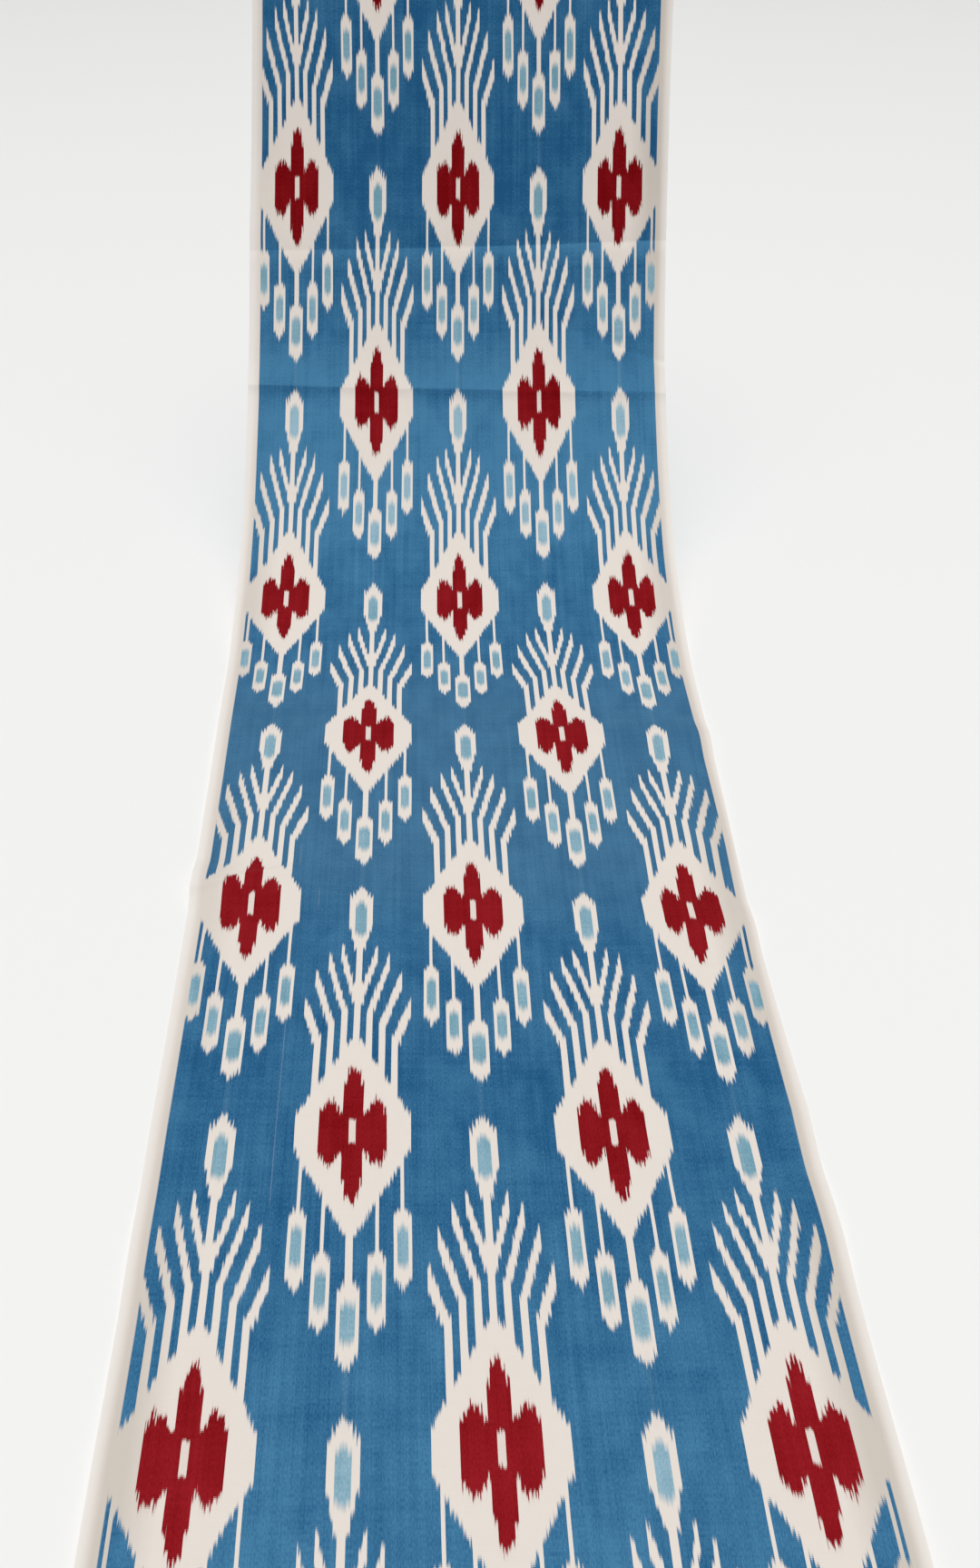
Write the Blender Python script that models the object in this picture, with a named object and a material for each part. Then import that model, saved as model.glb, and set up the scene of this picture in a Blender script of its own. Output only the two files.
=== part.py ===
# A length of warp-dyed ikat cloth, woven in one piece. Its top edge is held up, and from there
# it falls steeply, sweeps round to the level and lies on the surface towards the front.
#
# Frame: +Z is up and +X is to the right. The origin is the middle of the top edge, and the
# cloth comes down and forwards from it, towards -Y.

import math
from collections import namedtuple

import bmesh
import bpy
import numpy as np

MM = 0.001

# Driving dimensions, in millimetres
CLOTH_WIDTH = 400.0  # from selvedge to selvedge
CLOTH_LENGTH = 1800.0  # along the warp, measured on the cloth
THICKNESS = 1.2
CELLS_ACROSS = 16
CELLS_ALONG = 96
PROFILE_STEP = 1.0  # of the sums that work out the sweep

# How the cloth hangs and lies. Each row gives a distance down the cloth from its top edge, how
# steeply the cloth falls there in degrees, and how far its middle line has moved to the right.
Section = namedtuple("Section", "at slope drift")
SWEEP = (
    Section(at=0, slope=71.0, drift=0.0),
    Section(at=110, slope=66.0, drift=0.0),
    Section(at=220, slope=61.5, drift=0.0),
    Section(at=330, slope=55.5, drift=-0.5),
    Section(at=440, slope=47.0, drift=-0.5),
    Section(at=550, slope=36.0, drift=0.5),
    Section(at=660, slope=23.5, drift=2.0),
    Section(at=760, slope=9.0, drift=4.5),
    Section(at=845, slope=0.0, drift=7.5),
    Section(at=1150, slope=0.0, drift=18.5),
    Section(at=1380, slope=0.0, drift=26.5),
    Section(at=1600, slope=0.0, drift=36.5),
    Section(at=1800, slope=0.0, drift=45.5),
)

# Soft ridges that run across the cloth. Each row gives where the ridge's crest meets the left
# and the right edge, how far it reaches before and behind its crest, and its height at the
# left edge, in the middle and at the right edge.
Ridge = namedtuple("Ridge", "at_left at_right reach left middle right")
RIDGES = (
    Ridge(at_left=150, at_right=205, reach=110, left=2.0, middle=0.5, right=4.0),  # slack near the top
    Ridge(at_left=560, at_right=520, reach=120, left=3.0, middle=0.0, right=2.0),  # above the bend
    Ridge(at_left=905, at_right=945, reach=34, left=0.0, middle=0.5, right=5.0),  # wave in the right edge
    Ridge(at_left=960, at_right=985, reach=190, left=2.5, middle=3.5, right=3.0),  # foot of the bend
    Ridge(at_left=1137, at_right=1188, reach=38, left=7.0, middle=1.5, right=4.0),  # slanting crimp
    Ridge(at_left=1480, at_right=1455, reach=60, left=2.5, middle=0.0, right=3.0),  # loose edges
    Ridge(at_left=1640, at_right=1665, reach=150, left=3.5, middle=3.0, right=4.5),  # near the front
)

CLOTH_COLOUR = (0.032, 0.165, 0.365, 1.0)  # the indigo ground
CLOTH_ROUGHNESS = 0.85


def clear_scene():
    for old in list(bpy.data.objects):
        bpy.data.objects.remove(old, do_unlink=True)


def sweep_profile():
    """Adds up the slopes, and gives distances down the cloth with their place and slope."""
    at = np.arange(0.0, CLOTH_LENGTH + PROFILE_STEP, PROFILE_STEP)
    rows_at = [row.at for row in SWEEP]
    slope = np.radians(np.interp(at, rows_at, [row.slope for row in SWEEP]))
    drift = np.interp(at, rows_at, [row.drift for row in SWEEP])
    middle_slope = (slope[1:] + slope[:-1]) / 2
    forward = -np.concatenate([[0.0], np.cumsum(np.cos(middle_slope))]) * PROFILE_STEP
    down = -np.concatenate([[0.0], np.cumsum(np.sin(middle_slope))]) * PROFILE_STEP
    return at, drift, forward, down, slope


def ridge_height(across, at):
    """Height of all ridges at a place: across is -1 at the left edge and 1 at the right."""
    height = 0.0
    for ridge in RIDGES:
        crest = ridge.at_left + (ridge.at_right - ridge.at_left) * (across + 1) / 2
        offset = abs(at - crest) / ridge.reach
        if offset < 1:
            tilt = (ridge.right - ridge.left) / 2 * across
            cup = ((ridge.right + ridge.left) / 2 - ridge.middle) * across ** 2
            height += (ridge.middle + tilt + cup) * (1 + math.cos(math.pi * offset)) / 2
    return height


def lay_out(profile, across, at):
    """Turns a place on the flat cloth into its place in space, in metres."""
    at_all, drift_all, forward_all, down_all, slope_all = profile
    drift, forward, down, slope = (
        float(np.interp(at, at_all, values)) for values in (drift_all, forward_all, down_all, slope_all)
    )
    height = ridge_height(across, at)
    x = across * CLOTH_WIDTH / 2 + drift
    y = forward - height * math.sin(slope)
    z = down + height * math.cos(slope)
    return x * MM, y * MM, z * MM


def cloth_material():
    material = bpy.data.materials.new("ikatCloth")
    material.use_nodes = True
    shader = material.node_tree.nodes["Principled BSDF"]
    shader.inputs["Base Color"].default_value = CLOTH_COLOUR
    shader.inputs["Roughness"].default_value = CLOTH_ROUGHNESS
    shader.inputs["Metallic"].default_value = 0.0
    material.diffuse_color = CLOTH_COLOUR
    return material


def make_cloth():
    """Cuts a flat grid, moves every point to where the cloth hangs or lies, and thickens it."""
    profile = sweep_profile()
    sheet = bmesh.new()
    bmesh.ops.create_grid(sheet, x_segments=CELLS_ACROSS, y_segments=CELLS_ALONG, size=1.0)
    for point in sheet.verts:
        across, at = point.co.x, (1 - point.co.y) / 2 * CLOTH_LENGTH
        point.co = lay_out(profile, across, at)
    mesh = bpy.data.meshes.new("cloth")
    sheet.to_mesh(mesh)
    sheet.free()
    mesh.shade_smooth()
    mesh.materials.append(cloth_material())

    cloth = bpy.data.objects.new("cloth", mesh)
    bpy.context.scene.collection.objects.link(cloth)
    thicken = cloth.modifiers.new("thickness", "SOLIDIFY")
    thicken.thickness = THICKNESS * MM
    thicken.offset = 1.0  # the grid is the underside
    thicken.use_even_offset = True
    return cloth


clear_scene()
make_cloth()
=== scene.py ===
# A length of warp-dyed ikat. Its top edge is held up, and it sweeps down to the floor and lies
# there towards the camera. Lengths on the cloth are in millimetres. The sizes and places of the
# floor and the lamps, and the camera's place and reach, are in metres.

import math
from collections import namedtuple

import bpy
import numpy as np
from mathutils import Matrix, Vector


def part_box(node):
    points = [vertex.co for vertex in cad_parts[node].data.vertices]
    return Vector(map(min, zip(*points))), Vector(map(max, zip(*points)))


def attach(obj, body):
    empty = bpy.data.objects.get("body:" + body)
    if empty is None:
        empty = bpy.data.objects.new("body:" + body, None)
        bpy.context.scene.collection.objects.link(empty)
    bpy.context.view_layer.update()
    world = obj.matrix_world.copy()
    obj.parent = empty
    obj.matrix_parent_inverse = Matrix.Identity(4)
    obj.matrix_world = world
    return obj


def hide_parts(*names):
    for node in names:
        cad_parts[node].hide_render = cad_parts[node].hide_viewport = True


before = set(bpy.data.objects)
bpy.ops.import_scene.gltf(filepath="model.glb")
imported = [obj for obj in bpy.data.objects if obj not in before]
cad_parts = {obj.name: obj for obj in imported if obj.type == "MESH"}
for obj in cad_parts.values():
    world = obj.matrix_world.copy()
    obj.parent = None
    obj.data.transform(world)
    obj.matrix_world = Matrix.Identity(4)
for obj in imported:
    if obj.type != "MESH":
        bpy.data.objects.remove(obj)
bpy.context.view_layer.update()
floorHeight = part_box("cloth")[0].z
mm = 0.001

# Camera

cameraSettings = {
    "lens": 40.9,
    "place": (0.031, -1.894, 0.221),
    "lookDown": 33.32,  # degrees below level
    "farthest": 60.0,
}


def makeCamera():
    bpy.ops.object.camera_add(location=cameraSettings["place"])
    camera = bpy.context.object
    camera.name = "studioCamera"
    camera.rotation_euler = (math.radians(90 - cameraSettings["lookDown"]), 0, 0)
    camera.data.lens = cameraSettings["lens"]
    camera.data.clip_end = cameraSettings["farthest"]
    bpy.context.scene.camera = camera
    print("camera placed")


# Node trees


class Wire:
    tree = None  # the node tree under work

    def __init__(self, socket):
        self.socket = socket

    @staticmethod
    def plug(entry, value):
        if isinstance(value, Wire):
            Wire.tree.links.new(value.socket, entry)
        else:
            entry.default_value = value

    @classmethod
    def node(cls, kind, settings=None, inputs=None, output=0):
        made = cls.tree.nodes.new("ShaderNode" + kind)
        for name, value in (settings or {}).items():
            if name == "stops":
                ramp = made.color_ramp
                while len(ramp.elements) < len(value):
                    ramp.elements.new(0.5)
                for stop, (position, colour) in zip(ramp.elements, value):
                    stop.position = position
                    stop.color = colour
            elif name == "rampEnds":
                made.color_ramp.interpolation = value
            else:
                setattr(made, name, value)
        for name, value in (inputs or {}).items():
            cls.plug(made.inputs[name], value)
        return cls(made.outputs[output])

    @classmethod
    def maths(cls, operation, *values, clamp=False):
        settings = {"operation": operation, "use_clamp": clamp}
        return cls.node("Math", settings, dict(enumerate(values)))

    def out(self, name):
        return Wire(self.socket.node.outputs[name])

    def floor(self):
        return Wire.maths("FLOOR", self)

    def clamped(self):
        return Wire.maths("ADD", self, 0.0, clamp=True)

    def __abs__(self):
        return Wire.maths("ABSOLUTE", self)

    def __add__(self, other):
        return Wire.maths("ADD", self, other)

    def __radd__(self, other):
        return Wire.maths("ADD", other, self)

    def __sub__(self, other):
        return Wire.maths("SUBTRACT", self, other)

    def __rsub__(self, other):
        return Wire.maths("SUBTRACT", other, self)

    def __mul__(self, other):
        return Wire.maths("MULTIPLY", self, other)

    def __rmul__(self, other):
        return Wire.maths("MULTIPLY", other, self)

    def __truediv__(self, other):
        return Wire.maths("DIVIDE", self, other)

    def __mod__(self, other):
        return Wire.maths("FLOORED_MODULO", self, other)


def least(*values):
    found = values[0]
    for value in values[1:]:
        found = Wire.maths("MINIMUM", found, value)
    return found


def most(*values):
    found = values[0]
    for value in values[1:]:
        found = Wire.maths("MAXIMUM", found, value)
    return found


def mixColours(share, under, over):
    return Wire.node("Mix", {"data_type": "RGBA"}, {0: share, 6: under, 7: over}, output=2)


def vector(x, y):
    return Wire.node("CombineXYZ", None, {"X": x, "Y": y})


def noise(place, detail=0.0, roughness=0.5):
    # uneven values around 0
    inputs = {"Vector": place, "Scale": 1.0, "Detail": detail, "Roughness": roughness}
    return Wire.node("TexNoise", {"noise_dimensions": "2D"}, inputs) - 0.5


def fade(depth, over, middle=0.5):
    # from 0 outside to 1 inside, over so many mm
    return (depth / over + middle).clamped()


def bend(across, left, middle, right):
    # a smooth run from edge to edge; across is -1 at the left and 1 at the right, array or Wire
    return middle + across * ((right - left) / 2) + across * across * ((right + left) / 2 - middle)


# The dyed pattern

# One motif is worked out by bundles of warp threads, from its middle line outwards, in mm down
# the cloth from its slit. A lozenge holds a cross. Above it stand a bud on a stalk and slanting
# fingers on stems, and below it drops hang on single threads.
motifSettings = {
    "bundles": 17,  # in half a motif
    "lozengeReach": 86.0,  # up and down from the slit, on the middle line
    "lozengeTaper": 4.4,  # that it loses with each bundle outwards
    "uprightReach": 56.0,  # of the cross
    "uprightTaper": 3.5,
    "uprightBundles": 3,
    "neckReach": 17.0,
    "armMiddle": 6.3,  # bundle where a side arm of the cross is tallest
    "armReach": 27.0,
    "armTaper": 1.1,
    "armEnd": 10,  # first bundle outside the arm
    "budTop": -238.0,
    "budEnd": -162.0,
    "budNarrowing": 10.5,
    "budBundles": 4,
    "tipTaper": 3.5,  # of buds and drops
    "stemBundles": 2,
    "fingerLength": 20.0,
    "fingerBundles": 7,  # its stem among them
    "dropSpread": 2,  # bundles to each side of a drop's thread
    "heartInset": 16.0,  # of the pale blue in a bud or drop
    "heartTaper": 2.0,
    "heartBundles": 2,
    "budHeartInset": 25.6,  # at the foot of the bud
}
Finger = namedtuple("Finger", "foot top rise")  # rise with each bundle outwards
motifFingers = (
    Finger(foot=-1, top=-118, rise=9.6),
    Finger(foot=3, top=-113, rise=9),
    Finger(foot=7, top=-101, rise=8),
    Finger(foot=11, top=-86, rise=7),
)
Drop = namedtuple("Drop", "middle top end")
motifDrops = (
    Drop(middle=0, top=113, end=173),
    Drop(middle=7, top=91, end=150),
    Drop(middle=14, top=59, end=121),
)
Bundle = namedtuple("Bundle", "undyed paleBlue red")


def workOutBundle(number):
    # where that bundle is undyed, pale blue and red
    size = motifSettings
    lozenge = size["lozengeReach"] - size["lozengeTaper"] * number
    undyed, paleBlue, red = [(-lozenge, lozenge)], [], []
    if number < size["budBundles"]:
        top = size["budTop"] + size["tipTaper"] * number
        end = size["budEnd"] - size["budNarrowing"] * number
        undyed.append((top, end if number else 0))  # 0 takes in the stalk
        if number < size["heartBundles"]:
            heartEnd = size["budEnd"] - size["budHeartInset"] - size["heartTaper"] * number
            paleBlue.append((top + size["heartInset"], heartEnd))
    for finger in motifFingers:
        away = number - finger.foot
        top = finger.top - finger.rise * away
        if 0 <= away < size["stemBundles"]:
            undyed.append((top, 0))
        elif size["stemBundles"] <= away < size["fingerBundles"]:
            undyed.append((top, top + size["fingerLength"]))
    for drop in motifDrops:
        away = abs(number - drop.middle)
        if away <= size["dropSpread"]:
            top = drop.top + size["tipTaper"] * away if away else 0  # 0 takes in the thread
            undyed.append((top, drop.end - size["tipTaper"] * away))
        if away < size["heartBundles"]:
            inset = size["heartInset"] + size["heartTaper"] * away
            paleBlue.append((drop.top + inset, drop.end - inset))
    if number < size["uprightBundles"]:
        red.append(size["uprightReach"] - size["uprightTaper"] * number**2)
    elif number == size["uprightBundles"]:
        red.append(size["neckReach"])
    elif number < size["armEnd"]:
        red.append(size["armReach"] - size["armTaper"] * (number - size["armMiddle"]) ** 2)
    return Bundle(undyed, paleBlue, [(-reach, reach) for reach in red])


motifChart = [workOutBundle(number) for number in range(motifSettings["bundles"])]

patternSettings = {
    "columnStep": 78.5,  # from one column of motifs to the next
    "bundleWidth": 157 / 76,
    "repeat": 442.8,  # of one column, along the warp
    "firstSlit": 275.9,  # down the cloth, in the middle column
    "columnShift": 225.1,  # of every other column
    "chartTop": -250.0,
    "chartSpan": 500.0,
    "slitTop": -10.5,
    "slitEnd": 10.0,
    "groundHalfWidth": 190.0,  # the selvedges are undyed beyond it
    "fingerLean": 4.0,  # of the upper fingers within one bundle
    "fingerLow": -90.0,  # lowest place in the chart where they lean
    "fingerInner": 1.5,  # they stand outside this bundle
    "fingerLoss": 0.7,  # that they lose at their ends
    "wanderAcross": 11.0,  # size of the warp's slow wandering
    "wanderDown": 45.0,
    "wanderReach": 0.5,
    "threadWidth": 0.62,
    "threadSeed": 7.31,
    "threadRun": 30.0,  # over which a thread's slip changes
    "threadJitter": 11.0,
    "bundleSeed": 5.17,
    "bundleRun": 60.0,
    "bundleJitter": 2.6,
    "redSlip": 1.6,  # shares of the slip of the threads
    "slitSlip": 0.6,
    "paleSlip": 0.5,
    "groundEdge": 3.6,  # mm over which a dye fades out along a thread
    "redEdge": 2.4,
    "paleEdge": 7.0,
    "selvedgeEdge": 0.6,
    "redBleed": 6.0,
    "bleedStrength": 0.07,
    "traceMiddle": -32.0,  # of the stretch that has no pale trace
    "traceReach": 195.0,
    "traceEdge": 8.0,
    "traceWidth": 1.2,  # in bundles
    "traceStrength": 0.10,
    "strayWidth": 0.5,  # of a single pale thread, to each side
    "strayEdge": 6.0,
    "strayStrength": 0.13,
}

# What is uneven in the threads and dyes. Each row gives its size across and down the cloth in
# mm, how much finer detail it has, and its share in the strength of the dyes.
Grain = namedtuple("Grain", "across down detail roughness share")
grains = {
    "streak": Grain(across=0.75, down=150, detail=1, roughness=0.5, share=0.5),
    "fleck": Grain(across=0.8, down=2.2, detail=0, roughness=0.5, share=0.7),
    "warpBand": Grain(across=4.5, down=260, detail=1, roughness=0.5, share=0.4),
    "slub": Grain(across=60, down=0.95, detail=1, roughness=0.5, share=0.22),
    "weftBar": Grain(across=150, down=4, detail=0, roughness=0.5, share=0.15),
    "cloud": Grain(across=26, down=42, detail=2, roughness=0.6, share=0.95),
}

weaveSettings = {
    "warpPitch": 0.415,
    "weftPitch": 0.95,
    "weftTick": 0.25,  # how far the weft shows where a dye fades out
    "rib": 0.35,
    "slubRelief": 1.6,
    "bumpStrength": 0.35,
    "bumpDepth": 0.0001,  # in metres
    "roughness": 0.8,
    "specular": 0.04,
    "sheen": 0.015,
    "sheenRoughness": 0.4,
    "madderGrain": 0.8,  # share of the unevenness that shows in the red
    "bareGrain": 0.12,  # and in the undyed threads
    "edgeShadeReach": 34.0,  # mm from the edge where the painted shade starts
    "edgeShadeFade": 18.0,
    "edgeShadeOuter": 0.5,
    "edgeShadeOuterFade": 8.0,
    "selvedgeReach": 9.0,
    "selvedgeFade": 5.0,
    # mm over which the painted crease highlight and shade fade in at the line
    "paintedShadingEdge": 1.6,
}

colours = {
    "indigo": (0.060, 0.203, 0.358, 1),
    "indigoDeep": (0.0125, 0.0900, 0.212, 1),
    # indigo greyed by painted sheen
    "indigoWorn": (0.070, 0.168, 0.270, 1),
    "undyed": (0.768, 0.702, 0.640, 1),
    "selvedge": (0.825, 0.785, 0.745, 1),
    # undyed threads in painted shade near the edges, and where their grain is darker
    "undyedShadeAndGrain": (0.605, 0.548, 0.488, 1),
    "madder": (0.305, 0.0110, 0.0175, 1),
    "madderDeep": (0.165, 0.0005, 0.0020, 1),
    "paleBlue": (0.305, 0.470, 0.565, 1),
    "paleBlueDeep": (0.145, 0.308, 0.392, 1),
}

# The dyes took unevenly, and painted sheen lies over them. Each row gives a place down the cloth,
# and from 0 to 1 how pale the indigo is there from uneven dye and painted sheen, how far painted
# sheen greys it, and how bright the red is from uneven dye and painted sheen.
Dye = namedtuple("Dye", "at indigo worn madder")
dyeAndSheenRows = (
    Dye(at=60, indigo=0.30, worn=0.0, madder=0.08),
    Dye(at=170, indigo=0.24, worn=0.0, madder=0.12),
    Dye(at=235, indigo=0.14, worn=0.0, madder=0.14),
    Dye(at=325, indigo=0.26, worn=0.0, madder=0.22),
    Dye(at=350, indigo=0.42, worn=0.0, madder=0.24),
    Dye(at=425, indigo=0.48, worn=0.0, madder=0.32),
    Dye(at=455, indigo=0.90, worn=0.0, madder=0.34),
    Dye(at=600, indigo=0.94, worn=0.0, madder=0.36),
    Dye(at=690, indigo=0.48, worn=0.0, madder=0.40),
    Dye(at=800, indigo=0.44, worn=0.1, madder=0.42),
    Dye(at=880, indigo=0.50, worn=0.35, madder=0.46),
    Dye(at=1110, indigo=0.50, worn=0.35, madder=0.56),
    Dye(at=1190, indigo=0.36, worn=0.1, madder=0.54),
    Dye(at=1330, indigo=0.32, worn=0.0, madder=0.44),
    Dye(at=1480, indigo=0.44, worn=0.0, madder=0.56),
    Dye(at=1620, indigo=0.64, worn=0.0, madder=0.66),
)

# Sharp creases: where the line runs at the left edge, in the middle and at the right edge, how
# far it reaches uphill and downhill, and its height in the same three places. On the two that
# storage pressed in, the indigo is painted paler (more than 0, a painted highlight) or deeper (a
# painted shade) below the line.
Crease = namedtuple("Crease", "line before after height tint")
creases = (
    Crease(
        line=(337, 333, 327), before=26, after=14, height=(-1.0, -1.5, -1.6), tint=(0.30, 0.45, 0.80)
    ),
    Crease(
        line=(475, 480, 484), before=34, after=12, height=(2.0, 1.9, 1.9), tint=(-0.42, -0.58, -0.25)
    ),
    Crease(line=(280, 370, 451), before=22, after=7, height=(0.0, 0.0, -2.0), tint=None),
    Crease(line=(1150, 1060, 980), before=12, after=9, height=(2.6, 0.0, 0.0), tint=None),
)
paintedShadingReach = 24.0  # of the painted highlight or painted shade below a crease line

# Single pale threads in the indigo, and where on the cloth each one shows.
PaleThread = namedtuple("PaleThread", "across start end")
paleThreads = (
    PaleThread(across=-125.0, start=1085, end=1116),
    PaleThread(across=-125.0, start=1262, end=1440),
    PaleThread(across=-109.0, start=1140, end=1166),
)

# How much painted shade darkens the undyed threads near each edge.
EdgeShade = namedtuple("EdgeShade", "at left right")
edgeShadeRows = (
    EdgeShade(at=60, left=0.40, right=1.0),
    EdgeShade(at=340, left=0.20, right=1.0),
    EdgeShade(at=500, left=0.25, right=0.40),
    EdgeShade(at=720, left=0.75, right=0.80),
    EdgeShade(at=1166, left=0.55, right=0.85),
    EdgeShade(at=1600, left=1.0, right=1.0),
)


def chartTrack(name, track):
    # the stops of a ramp that holds where each bundle's interval starts and ends
    top, span = patternSettings["chartTop"], patternSettings["chartSpan"]
    rows = [getattr(bundle, name) for bundle in motifChart] + [()]
    stops = []
    for number, row in enumerate(rows):
        start, end = row[track] if track < len(row) else (top + span, top)
        stops.append((number / len(rows), ((start - top) / span, (end - top) / span, 0, 1)))
    return stops


def insideDye(name, bundlePlace, along):
    # how far inside the chart's intervals of that dye a place is, in mm along the warp
    top, span = patternSettings["chartTop"], patternSettings["chartSpan"]
    depth = None
    for track in range(max(len(getattr(bundle, name)) for bundle in motifChart)):
        settings = {"stops": chartTrack(name, track), "rampEnds": "CONSTANT"}
        ramp = Wire.node("ValToRGB", settings, {"Fac": bundlePlace})
        ends = Wire.node("SeparateColor", None, {"Color": ramp})
        start = ends.out("Red") * span + top
        end = ends.out("Green") * span + top
        inside = least(along - start, end - along)
        depth = inside if depth is None else most(depth, inside)
    return depth


def grainMap(name, across, down):
    grain = grains[name]
    return noise(vector(across / grain.across, down / grain.down), grain.detail, grain.roughness)


def alongTable(rows, down):
    # reads a table of up to three columns by the place down the cloth, as red, green and blue
    length = clothSettings["length"]
    stops = [(row.at / length, (tuple(row[1:]) + (0, 0))[:3] + (1,)) for row in rows]
    ramp = Wire.node("ValToRGB", {"stops": stops, "rampEnds": "LINEAR"}, {"Fac": down / length})
    return Wire.node("SeparateColor", None, {"Color": ramp})


def clothMaterial():
    settings, weaving = patternSettings, weaveSettings
    material = bpy.data.materials.new("ikatWeave")
    material.use_nodes = True
    Wire.tree = material.node_tree
    shader = material.node_tree.nodes["Principled BSDF"]

    halfWidth = clothSettings["width"] / 2
    place = Wire.node("SeparateXYZ", None, {0: Wire.node("UVMap", {"uv_map": "warpAndWeft"})})
    across = place.out("X") * 1000  # from metres to mm
    down = place.out("Y") * 1000
    fromEdge = halfWidth - abs(across)

    # threads slip a little against each other before they are woven
    wander = noise(vector(across / settings["wanderAcross"], down / settings["wanderDown"]))
    acrossWarp = across + wander * settings["wanderReach"]
    thread = (acrossWarp / settings["threadWidth"]).floor()
    threadSlip = noise(vector(thread * settings["threadSeed"], down / settings["threadRun"]), detail=1)
    tuft = (acrossWarp / settings["bundleWidth"]).floor()
    tuftSlip = noise(vector(tuft * settings["bundleSeed"], down / settings["bundleRun"]))
    slip = threadSlip * settings["threadJitter"] + tuftSlip * settings["bundleJitter"]

    # which column of motifs, which bundle of it, and how far down its chart
    column = Wire.maths("ROUND", acrossWarp / settings["columnStep"])
    oddColumn = abs(column) % 2
    bundleCount = abs(acrossWarp - column * settings["columnStep"]) / settings["bundleWidth"]
    bundle = least(bundleCount.floor(), float(len(motifChart)))
    bundlePlace = (bundle + 0.5) / (len(motifChart) + 1)
    top = settings["chartTop"]
    along = down - settings["firstSlit"] + oddColumn * settings["columnShift"]
    along = (along - top) % settings["repeat"] + top
    aboveLow = Wire.maths("LESS_THAN", along, settings["fingerLow"])
    fingers = aboveLow * Wire.maths("GREATER_THAN", bundle, settings["fingerInner"])
    lean = fingers * (bundleCount - bundle - 0.5) * settings["fingerLean"]

    # where a dye fades out, the weft shows between the warp threads
    weftTick = Wire.maths("SINE", down * (2 * math.pi / weaving["weftPitch"]))
    tick = weftTick * weaving["weftTick"] + 0.5
    undyedDepth = insideDye("undyed", bundlePlace, along + lean + slip) - fingers * settings["fingerLoss"]
    undyed = fade(undyedDepth, settings["groundEdge"], tick)
    selvedge = fade(halfWidth - settings["groundHalfWidth"] - fromEdge, settings["selvedgeEdge"])
    undyed = most(undyed, selvedge)
    for stray in paleThreads:
        beside = (1 - abs(across - stray.across) / settings["strayWidth"]).clamped()
        shown = (least(down - stray.start, stray.end - down) / settings["strayEdge"]).clamped()
        undyed = most(undyed, beside * shown * settings["strayStrength"])

    # the cross, its slit, the red that bled out of it, and the pale blue hearts
    redDepth = insideDye("red", bundlePlace, along + slip * settings["redSlip"])
    slitSlip = slip * settings["slitSlip"]
    slitDepth = least(along + slitSlip - settings["slitTop"], settings["slitEnd"] - along - slitSlip)
    slit = fade(slitDepth, settings["redEdge"], tick) * Wire.maths("LESS_THAN", bundle, 0.5)
    red = fade(redDepth, settings["redEdge"], tick) * (1 - slit)
    bleed = fade(redDepth, settings["redBleed"], 1) * settings["bleedStrength"]
    paleDepth = insideDye("paleBlue", bundlePlace, along + slip * settings["paleSlip"])
    pale = fade(paleDepth, settings["paleEdge"])
    # a paler trace joins each lowest drop to the bud below it
    fromTrace = abs(along - settings["traceMiddle"]) - settings["traceReach"]
    gap = (fromTrace / settings["traceEdge"]).clamped()
    trace = gap * (settings["traceWidth"] - bundleCount).clamped() * settings["traceStrength"]
    pale = most(pale, trace)

    # streaks along the warp, slubs and bars along the weft, and slow clouds of weaker dye
    alongWarp = ("streak", "fleck")
    grain = {name: grainMap(name, acrossWarp if name in alongWarp else across, down) for name in grains}
    unevenness = 0.0
    for name, row in grains.items():
        unevenness = grain[name] * row.share + unevenness
    # uneven dye and painted sheen, read down the cloth
    dyeAndSheenShare = alongTable(dyeAndSheenRows, down)
    indigoDyeAndPaintedLight = dyeAndSheenShare.out("Red") + unevenness
    # painted highlight and painted shade laid below the two storage creases
    for crease in creases:
        if crease.tint:
            below = down - bend(across / halfWidth, *crease.line)
            paintedCreaseBand = fade(below, weaving["paintedShadingEdge"]) * (1 - below / paintedShadingReach).clamped()
            indigoDyeAndPaintedLight = indigoDyeAndPaintedLight + paintedCreaseBand * bend(across / halfWidth, *crease.tint)
    indigoDyeAndPaintedLight = indigoDyeAndPaintedLight.clamped()
    madderDyeAndSheen = (dyeAndSheenShare.out("Blue") + unevenness * weaving["madderGrain"]).clamped()

    ground = mixColours(indigoDyeAndPaintedLight, colours["indigoDeep"], colours["indigo"])
    # painted sheen greys the indigo
    ground = mixColours(dyeAndSheenShare.out("Green"), ground, colours["indigoWorn"])
    madder = mixColours(madderDyeAndSheen, colours["madderDeep"], colours["madder"])
    heart = mixColours(indigoDyeAndPaintedLight, colours["paleBlueDeep"], colours["paleBlue"])

    # painted shade darkens the undyed threads near the edges, but not at the very selvedge
    edgeShadeTable = alongTable(edgeShadeRows, down)
    rightSide = Wire.maths("GREATER_THAN", across, 0.0)
    edgeShadeShare = edgeShadeTable.out("Red") * (1 - rightSide) + edgeShadeTable.out("Green") * rightSide
    inner = ((weaving["edgeShadeReach"] - fromEdge) / weaving["edgeShadeFade"]).clamped()
    outer = ((fromEdge + weaving["edgeShadeOuter"]) / weaving["edgeShadeOuterFade"]).clamped()
    paintedEdgeShade = inner * outer * edgeShadeShare
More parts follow.
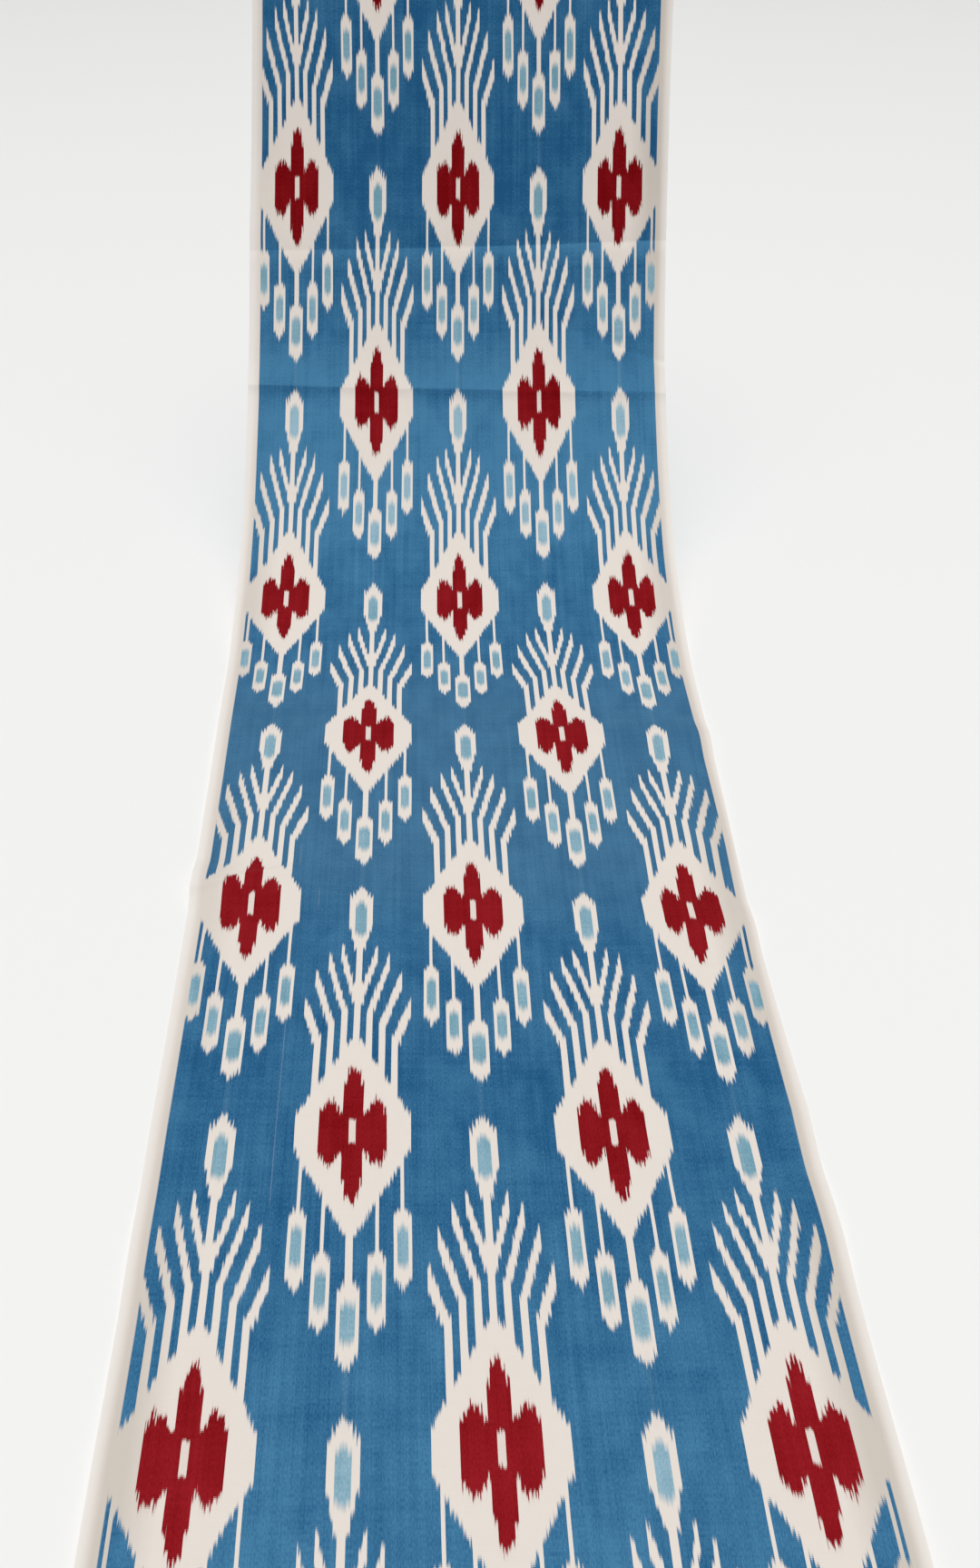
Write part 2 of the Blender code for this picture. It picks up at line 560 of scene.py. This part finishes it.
    # painted edge shade, with the undyed threads' own uneven grain on top
    edgeShadeAndGrainShare = (paintedEdgeShade + (grain["cloud"] + grain["slub"]) * weaving["bareGrain"]).clamped()
    bare = mixColours(edgeShadeAndGrainShare, colours["undyed"], colours["undyedShadeAndGrain"])
    selvedgeShare = ((weaving["selvedgeReach"] - fromEdge) / weaving["selvedgeFade"]).clamped()
    bare = mixColours(selvedgeShare * (1 - paintedEdgeShade), bare, colours["selvedge"])
    bare = mixColours(bleed, bare, colours["madder"])
    cloth = mixColours(undyed, ground, bare)
    cloth = mixColours(pale, cloth, heart)
    cloth = mixColours(red, cloth, madder)

    # a plain weave of fine warp over coarser weft
    warpRib = Wire.maths("SINE", across * (2 * math.pi / weaving["warpPitch"]))
    weave = warpRib * weaving["rib"] + warpRib * weftTick * weaving["rib"]
    weave = weave + grain["slub"] * weaving["slubRelief"] + grain["streak"]
    relief = {"Strength": weaving["bumpStrength"], "Distance": weaving["bumpDepth"], "Height": weave}

    Wire.plug(shader.inputs["Base Color"], cloth)
    Wire.plug(shader.inputs["Normal"], Wire.node("Bump", None, relief))
    shader.inputs["Roughness"].default_value = weaving["roughness"]
    shader.inputs["Specular IOR Level"].default_value = weaving["specular"]
    shader.inputs["Sheen Weight"].default_value = weaving["sheen"]
    shader.inputs["Sheen Roughness"].default_value = weaving["sheenRoughness"]
    print("cloth material wired")
    return material


# The cloth

clothSettings = {
    "width": 400.0,  # from selvedge to selvedge
    "length": 1800.0,  # along the warp
    "thickness": 0.6,
    "cellsAcross": 88,
    "rows": 520,
    "rowStep": 5.2,  # between rows of points, away from the creases
    "fineStep": 1.6,  # and on them
    "finePlaces": ((305, 355), (420, 500), (1090, 1165)),
    "fineFade": 20.0,  # mm over which the rows come closer together
    "profileStep": 1.0,  # of the sums that work out the sweep
    "innerSide": 79.0,  # no wander this far to each side of the middle line
    "columnSide": 157.0,  # the outer columns of motifs
    "narrowAt": 1090.0,  # where the right selvedge is narrowest
    "narrowReach": 260.0,
    "narrowPull": 3.4,
    "smoothAngle": 40.0,
}

# How the cloth hangs and lies: each row gives a distance down the cloth, how steeply it falls
# there in degrees, and how far its middle line has moved to the right.
Section = namedtuple("Section", "at slope drift")
sweep = (
    Section(at=0, slope=71.0, drift=0.0),
    Section(at=110, slope=66.0, drift=0.0),
    Section(at=220, slope=61.5, drift=0.0),
    Section(at=330, slope=55.5, drift=-0.5),
    Section(at=440, slope=47.0, drift=-0.5),
    Section(at=550, slope=36.0, drift=0.5),
    Section(at=660, slope=23.5, drift=2.0),
    Section(at=760, slope=9.0, drift=4.5),
    Section(at=845, slope=0.0, drift=7.5),
    Section(at=1150, slope=0.0, drift=18.5),
    Section(at=1380, slope=0.0, drift=26.5),
    Section(at=1600, slope=0.0, drift=36.5),
    Section(at=1800, slope=0.0, drift=45.5),
)

# Soft ridges across the cloth: where the crest meets the left and right edges, how far
# it reaches before and behind, and its height at the left edge, in the middle and at the right.
Ridge = namedtuple("Ridge", "atLeft atRight reach left middle right")
ridges = (
    Ridge(atLeft=150, atRight=205, reach=110, left=2.0, middle=0.5, right=4.0),
    Ridge(atLeft=560, atRight=520, reach=120, left=3.0, middle=0.0, right=2.0),
    Ridge(atLeft=905, atRight=945, reach=34, left=0.0, middle=0.5, right=5.0),
    Ridge(atLeft=960, atRight=985, reach=190, left=2.5, middle=3.5, right=3.0),
    Ridge(atLeft=1137, atRight=1188, reach=38, left=7.0, middle=1.5, right=4.0),
    Ridge(atLeft=1480, atRight=1455, reach=60, left=2.5, middle=0.0, right=3.0),
    Ridge(atLeft=1640, atRight=1665, reach=150, left=3.5, middle=3.0, right=4.5),
)

# How far each dyed row has slipped down the cloth from its even place, at the outer left
# column, in the middle and at the outer right column.
Slip = namedtuple("Slip", "at left middle right")
slips = (
    Slip(at=275, left=-0.1, middle=1.4, right=-0.2),
    Slip(at=492, left=-0.4, middle=-1.0, right=-1.6),
    Slip(at=720, left=2.6, middle=4.3, right=0.3),
    Slip(at=936, left=-2.6, middle=0.3, right=3.2),
    Slip(at=1165, left=0.8, middle=7.5, right=8.6),
    Slip(at=1385, left=6.4, middle=7.4, right=7.6),
    Slip(at=1610, left=11.1, middle=4.8, right=4.5),
)

# The cloth isn't quite straight: how far its left selvedge, the outer left and right columns of
# motifs and its right selvedge stand to the right of their even places.
Wander = namedtuple("Wander", "at leftEdge leftColumn rightColumn rightEdge")
wanders = (
    Wander(at=100, leftEdge=1.1, leftColumn=0, rightColumn=0.6, rightEdge=8.6),
    Wander(at=205, leftEdge=-1.4, leftColumn=0, rightColumn=0.3, rightEdge=5.6),
    Wander(at=320, leftEdge=-3.8, leftColumn=-0.3, rightColumn=0, rightEdge=4.0),
    Wander(at=450, leftEdge=-3.0, leftColumn=-0.4, rightColumn=-0.4, rightEdge=1.0),
    Wander(at=600, leftEdge=-2.6, leftColumn=-0.5, rightColumn=-0.8, rightEdge=0.4),
    Wander(at=750, leftEdge=-3.1, leftColumn=-0.5, rightColumn=-1.3, rightEdge=0.3),
    Wander(at=900, leftEdge=-2.1, leftColumn=0, rightColumn=-2.4, rightEdge=-2.2),
    Wander(at=1000, leftEdge=-1.0, leftColumn=0.3, rightColumn=-3.4, rightEdge=-3.6),
    Wander(at=1160, leftEdge=-0.6, leftColumn=0.6, rightColumn=-4.4, rightEdge=-5.6),
    Wander(at=1300, leftEdge=-0.3, leftColumn=0.8, rightColumn=-3.0, rightEdge=-3.0),
    Wander(at=1367, leftEdge=-0.3, leftColumn=0.6, rightColumn=-2.4, rightEdge=-0.8),
    Wander(at=1420, leftEdge=-0.5, leftColumn=0.4, rightColumn=-2.4, rightEdge=-2.2),
    Wander(at=1470, leftEdge=-0.7, leftColumn=0.2, rightColumn=-2.4, rightEdge=-1.0),
    Wander(at=1600, leftEdge=-1.6, leftColumn=0, rightColumn=-2.5, rightEdge=-2.4),
    Wander(at=1700, leftEdge=-2.6, leftColumn=0, rightColumn=-2.5, rightEdge=-3.0),
)


def within(values, start, end):
    # 0 at the start and 1 at the end
    return np.clip((values - start) / (end - start), 0, 1)


def profilePlaces():
    # places down the cloth at which the sums are made
    step = clothSettings["profileStep"]
    return np.arange(0.0, clothSettings["length"] + step, step)


def clothSweep():
    # adds up the slopes: distances down the cloth, with their place and slope
    at = profilePlaces()
    rowsAt = [row.at for row in sweep]
    slope = np.radians(np.interp(at, rowsAt, [row.slope for row in sweep]))
    drift = np.interp(at, rowsAt, [row.drift for row in sweep])
    between = (slope[1:] + slope[:-1]) / 2
    step = clothSettings["profileStep"]
    forward = -np.concatenate([[0.0], np.cumsum(np.cos(between))]) * step
    fall = -np.concatenate([[0.0], np.cumsum(np.sin(between))]) * step
    return at, slope, drift, forward, fall


def ridgeHeight(across, at):
    height = np.zeros_like(at)
    for ridge in ridges:
        crest = ridge.atLeft + (ridge.atRight - ridge.atLeft) * (across + 1) / 2
        offset = np.minimum(abs(at - crest) / ridge.reach, 1)
        height += bend(across, ridge.left, ridge.middle, ridge.right) * (1 + np.cos(np.pi * offset)) / 2
    return height


def creaseHeight(across, at):
    height = np.zeros_like(at)
    for crease in creases:
        line = bend(across, *crease.line)
        reach = np.where(at < line, crease.before, crease.after)
        closeness = 1 - np.minimum(abs(at - line) / reach, 1)
        height += bend(across, *crease.height) * closeness**2
    return height


def sideways(across, at):
    wanderAt = [row.at for row in wanders]
    leftEdge, leftColumn, rightColumn, rightEdge = (
        np.interp(at, wanderAt, [getattr(row, name) for row in wanders]) for name in Wander._fields[1:]
    )
    side = abs(across) * clothSettings["width"] / 2
    toColumn = within(side, clothSettings["innerSide"], clothSettings["columnSide"])
    toEdge = within(side, clothSettings["columnSide"], clothSettings["width"] / 2)
    column = np.where(across < 0, leftColumn, rightColumn)
    edge = np.where(across < 0, leftEdge, rightEdge)
    return column * toColumn * (1 - toEdge) + edge * toEdge


def groundPull(across, at):
    # how far the dyed ground is drawn out over the right selvedge, which is narrower there
    strength = np.clip(1 - abs(at - clothSettings["narrowAt"]) / clothSettings["narrowReach"], 0, 1)
    side = across * clothSettings["width"] / 2
    toGround = within(side, clothSettings["columnSide"], patternSettings["groundHalfWidth"])
    return clothSettings["narrowPull"] * strength * toGround


def rowSlip(across, at):
    slipAt = [row.at for row in slips]
    left, middle, right = (
        np.interp(at, slipAt, [getattr(row, name) for row in slips]) for name in Slip._fields[1:]
    )
    side = across * clothSettings["width"] / 2 / clothSettings["columnSide"]
    return middle + np.where(side < 0, (left - middle) * -side, (right - middle) * side)


def rowPlaces():
    # distances down the cloth of the rows of points, closer together on the creases
    at = profilePlaces()
    coarse, fine = clothSettings["rowStep"], clothSettings["fineStep"]
    step = np.full_like(at, coarse)
    for start, end in clothSettings["finePlaces"]:
        off = within(np.maximum(start - at, at - end), 0, clothSettings["fineFade"])
        step = np.minimum(step, fine + (coarse - fine) * off)
    count = np.concatenate([[0.0], np.cumsum(1 / step[1:])])
    return count / count[-1], at


def makeCloth():
    bpy.ops.object.select_all(action="DESELECT")
    bpy.ops.mesh.primitive_grid_add(
        x_subdivisions=clothSettings["cellsAcross"], y_subdivisions=clothSettings["rows"], size=2
    )
    cloth = bpy.context.object
    cloth.name = "ikatLength"
    mesh = cloth.data

    flat = np.zeros(len(mesh.vertices) * 3)
    mesh.vertices.foreach_get("co", flat)
    flat = flat.reshape(-1, 3)
    across = flat[:, 0]
    at = np.interp((1 - flat[:, 1]) / 2, *rowPlaces())

    profileAt, slopes, drifts, forwards, falls = clothSweep()
    slope = np.interp(at, profileAt, slopes)
    height = ridgeHeight(across, at) + creaseHeight(across, at)
    laid = np.zeros_like(flat)
    laid[:, 0] = across * clothSettings["width"] / 2 + np.interp(at, profileAt, drifts)
    laid[:, 0] += sideways(across, at)
    laid[:, 1] = np.interp(at, profileAt, forwards) - height * np.sin(slope)
    laid[:, 2] = np.interp(at, profileAt, falls) + height * np.cos(slope)
    mesh.vertices.foreach_set("co", (laid * mm).ravel())

    # the pattern's own map, in metres across from the middle line and down the cloth
    chartAcross = across * clothSettings["width"] / 2 - groundPull(across, at)
    chartPlace = np.stack([chartAcross, at - rowSlip(across, at)], axis=1) * mm
    corners = np.zeros(len(mesh.loops), dtype=int)
    mesh.loops.foreach_get("vertex_index", corners)
    mesh.uv_layers[0].name = "warpAndWeft"
    mesh.uv_layers[0].data.foreach_set("uv", chartPlace[corners].ravel())
    mesh.update()

    thicken = cloth.modifiers.new("thickness", "SOLIDIFY")
    thicken.thickness = clothSettings["thickness"] * mm
    thicken.offset = 1.0
    bpy.ops.object.modifier_apply(modifier=thicken.name)
    bpy.ops.object.shade_smooth_by_angle(angle=math.radians(clothSettings["smoothAngle"]))
    mesh.materials.clear()
    mesh.materials.append(clothMaterial())
    print("cloth laid out,", len(mesh.polygons), "faces")
    return cloth


# Floor and light

studioSettings = {
    "floorRadius": 12.0,
    "floorCorners": 96,
    "floorColour": (0.86, 0.86, 0.85, 1),
    "floorRoughness": 0.7,
    "floorSpecular": 0.2,
    "ceilingPlace": (0.0, -1.0, 8.5),  # of a wide soft lamp that throws no shadow
    "ceilingSize": 7.0,
    "ceilingPower": 520.0,
    "sunPlace": (0, -1, 3),
    "sunStrength": 0.62,
    "sunAngle": 70.0,
    "sunTilt": 4.0,
    "skyStrength": 0.275,
    "skyGlow": 0.80,  # at the level of the floor and below it
    "glowTop": 0.20,  # sine of the height over which the glow fades
    "glowLevel": 1.3,  # more than 1 keeps it even near the horizon
}


def makeFloor():
    bpy.ops.object.select_all(action="DESELECT")
    bpy.ops.mesh.primitive_circle_add(
        vertices=studioSettings["floorCorners"],
        radius=studioSettings["floorRadius"],
        fill_type="NGON",
        location=(0, 0, floorHeight),
    )
    floor = bpy.context.object
    floor.name = "studioFloor"
    bpy.ops.object.transform_apply(location=True, rotation=True, scale=True)
    material = bpy.data.materials.new("paleFloor")
    material.use_nodes = True
    shader = material.node_tree.nodes["Principled BSDF"]
    shader.inputs["Base Color"].default_value = studioSettings["floorColour"]
    shader.inputs["Roughness"].default_value = studioSettings["floorRoughness"]
    shader.inputs["Specular IOR Level"].default_value = studioSettings["floorSpecular"]
    floor.data.materials.append(material)
    print("floor laid")
    return floor


def makeLight():
    bpy.ops.object.light_add(type="AREA", location=studioSettings["ceilingPlace"])
    ceiling = bpy.context.object
    ceiling.name = "softCeiling"
    ceiling.data.shape = "DISK"
    ceiling.data.size = studioSettings["ceilingSize"]
    ceiling.data.energy = studioSettings["ceilingPower"]
    ceiling.data.use_shadow = False
    bpy.ops.object.light_add(type="SUN", location=studioSettings["sunPlace"])
    sun = bpy.context.object
    sun.name = "softOverhead"
    sun.rotation_euler = (math.radians(studioSettings["sunTilt"]), 0, 0)
    sun.data.energy = studioSettings["sunStrength"]
    sun.data.angle = math.radians(studioSettings["sunAngle"])
    world = bpy.data.worlds.new("studioAir")
    world.use_nodes = True
    Wire.tree = world.node_tree
    sky = world.node_tree.nodes["Background"]
    sky.inputs["Color"].default_value = (1, 1, 1, 1)
    height = Wire.node("SeparateXYZ", None, {0: Wire.node("TexCoord")}).out("Z")
    even, glow, glowTop = (studioSettings[name] for name in ("skyStrength", "skyGlow", "glowTop"))
    lift = (studioSettings["glowLevel"] - height / glowTop).clamped() * (glow - even)
    Wire.plug(sky.inputs["Strength"], even + lift)
    bpy.context.scene.world = world
    bpy.context.scene.view_settings.view_transform = "Standard"
    print("light set")


makeCamera()
floor = makeFloor()
makeLight()
cloth = makeCloth()
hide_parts("cloth")
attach(cloth, "root")
